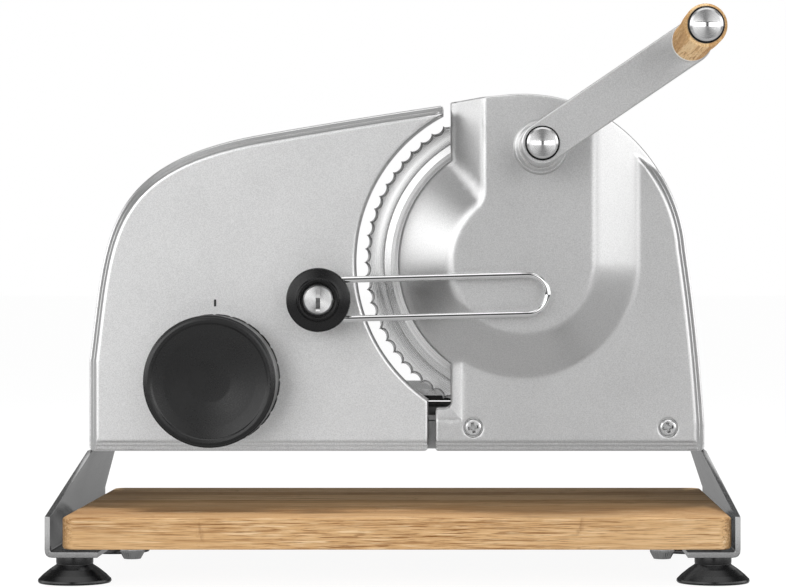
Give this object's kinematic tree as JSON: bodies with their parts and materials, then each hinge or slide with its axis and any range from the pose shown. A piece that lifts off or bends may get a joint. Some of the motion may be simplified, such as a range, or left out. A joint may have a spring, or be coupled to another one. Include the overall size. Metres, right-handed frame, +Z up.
{
  "type": "hand crank meat slicer",
  "caption": "Hand cranked food slicer with a toothed round blade, domed gear housing, slice gauge with a knob, food carriage and a slide-out board on suction feet.",
  "frame": {"origin": "middle of the footprint, on the table", "axes": "+X to the housing's end, +Y to the food side, +Z up; the blade turns about a line along Y, the crank stands on the -Y side"},
  "size_m": [0.3652, 0.3408, 0.287],
  "materials": {
    "satin_aluminium": "fine sand textured satin casting",
    "bright_steel": "bright, finely brushed",
    "chrome": "polished",
    "brass": "turned",
    "black_plastic": "fine matt grain",
    "black_rubber": "smooth",
    "pale_nylon": "smooth",
    "bamboo": "oiled, long straight grain"
  },
  "bodies": {
    "stand": {"front_rail": "satin_aluminium", "rear_rail": "satin_aluminium", "carriage_bed": "satin_aluminium", "leg_left": "bright_steel", "leg_right": "bright_steel", "leg_screw_1": "chrome", "leg_screw_2": "chrome", "leg_screw_3": "chrome", "leg_screw_4": "chrome", "foot_1": "black_rubber", "foot_2": "black_rubber", "foot_3": "black_rubber", "foot_4": "black_rubber", "housing_cover": "satin_aluminium", "housing_rear_panel": "bright_steel", "cover_screw_left": "chrome", "cover_screw_right": "chrome", "blade_axle": "bright_steel", "crank_bush": "brass", "gauge_bracket": "satin_aluminium", "bracket_screw_1": "chrome", "bracket_screw_2": "chrome", "gauge_nut": "brass"},
    "board_unit": {"board": "bamboo", "board_stud_1": "chrome", "board_stud_2": "chrome", "board_stud_3": "chrome", "board_stud_4": "chrome"},
    "blade_unit": {"blade": "bright_steel", "blade_gear": "pale_nylon", "blade_bush": "brass", "blade_lock": "black_plastic"},
    "crank_unit": {"crank_shaft": "bright_steel", "crank_pinion": "pale_nylon", "crank_arm": "satin_aluminium", "crank_washer": "black_plastic", "crank_screw": "chrome", "grip_spindle": "bright_steel", "grip_washer": "pale_nylon", "grip_screw_washer": "black_plastic", "grip_screw": "chrome"},
    "grip_unit": {"crank_grip": "bamboo"},
    "gauge_unit": {"gauge_plate": "satin_aluminium", "gauge_face": "bright_steel", "gauge_pin_1": "bright_steel", "gauge_pin_2": "bright_steel", "guard_screw": "chrome"},
    "knob_unit": {"gauge_knob": "black_plastic", "knob_scale_ring": "black_plastic", "gauge_spindle": "bright_steel"},
    "guard_unit": {"guard_disc": "black_plastic", "guard_wire": "chrome"},
    "carriage_unit": {"carriage_base": "black_plastic", "carriage_table": "satin_aluminium"},
    "holder_unit": {"food_holder": "black_plastic", "holder_spikes": "bright_steel", "holder_handle": "black_plastic"}
  },
  "joints": [
    {"name": "crank_turn", "type": "hinge", "parent": "stand", "child": "crank_unit", "pos_m": [0.07599, -0.02, 0.22484], "axis": [0, -1, 0], "continuous": true},
    {"name": "grip_spin", "type": "hinge", "parent": "crank_unit", "child": "grip_unit", "pos_m": [0.15167, -0.12, 0.27627], "axis": [0, -1, 0], "continuous": true},
    {"name": "blade_spin", "type": "hinge", "parent": "stand", "child": "blade_unit", "pos_m": [0.0667, 0.01, 0.1648], "axis": [0, -1, 0], "continuous": true},
    {"name": "gauge_slide", "type": "slide", "parent": "stand", "child": "gauge_unit", "axis": [0, -1, 0], "range_m": [0, 0.014]},
    {"name": "knob_turn", "type": "hinge", "parent": "gauge_unit", "child": "knob_unit", "pos_m": [-0.0968, -0.02, 0.1023], "axis": [0, -1, 0], "range_deg": [0, 300]},
    {"name": "guard_swing", "type": "hinge", "parent": "gauge_unit", "child": "guard_unit", "pos_m": [-0.0401, -0.02, 0.1448], "axis": [0, -1, 0], "range_deg": [-45, 90]},
    {"name": "carriage_slide", "type": "slide", "parent": "stand", "child": "carriage_unit", "axis": [1, 0, 0], "range_m": [-0.05, 0.11]},
    {"name": "holder_slide", "type": "slide", "parent": "carriage_unit", "child": "holder_unit", "axis": [0, -1, 0], "range_m": [-0.036, 0.046]},
    {"name": "board_slide", "type": "slide", "parent": "stand", "child": "board_unit", "axis": [0, -1, 0], "range_m": [0, 0.2]}
  ],
  "couplings": [
    {"joint": "blade_spin", "follows": "crank_turn", "ratio": -0.58824},
    {"joint": "gauge_slide", "follows": "knob_turn", "m_per_rad": 0.00267}
  ]
}
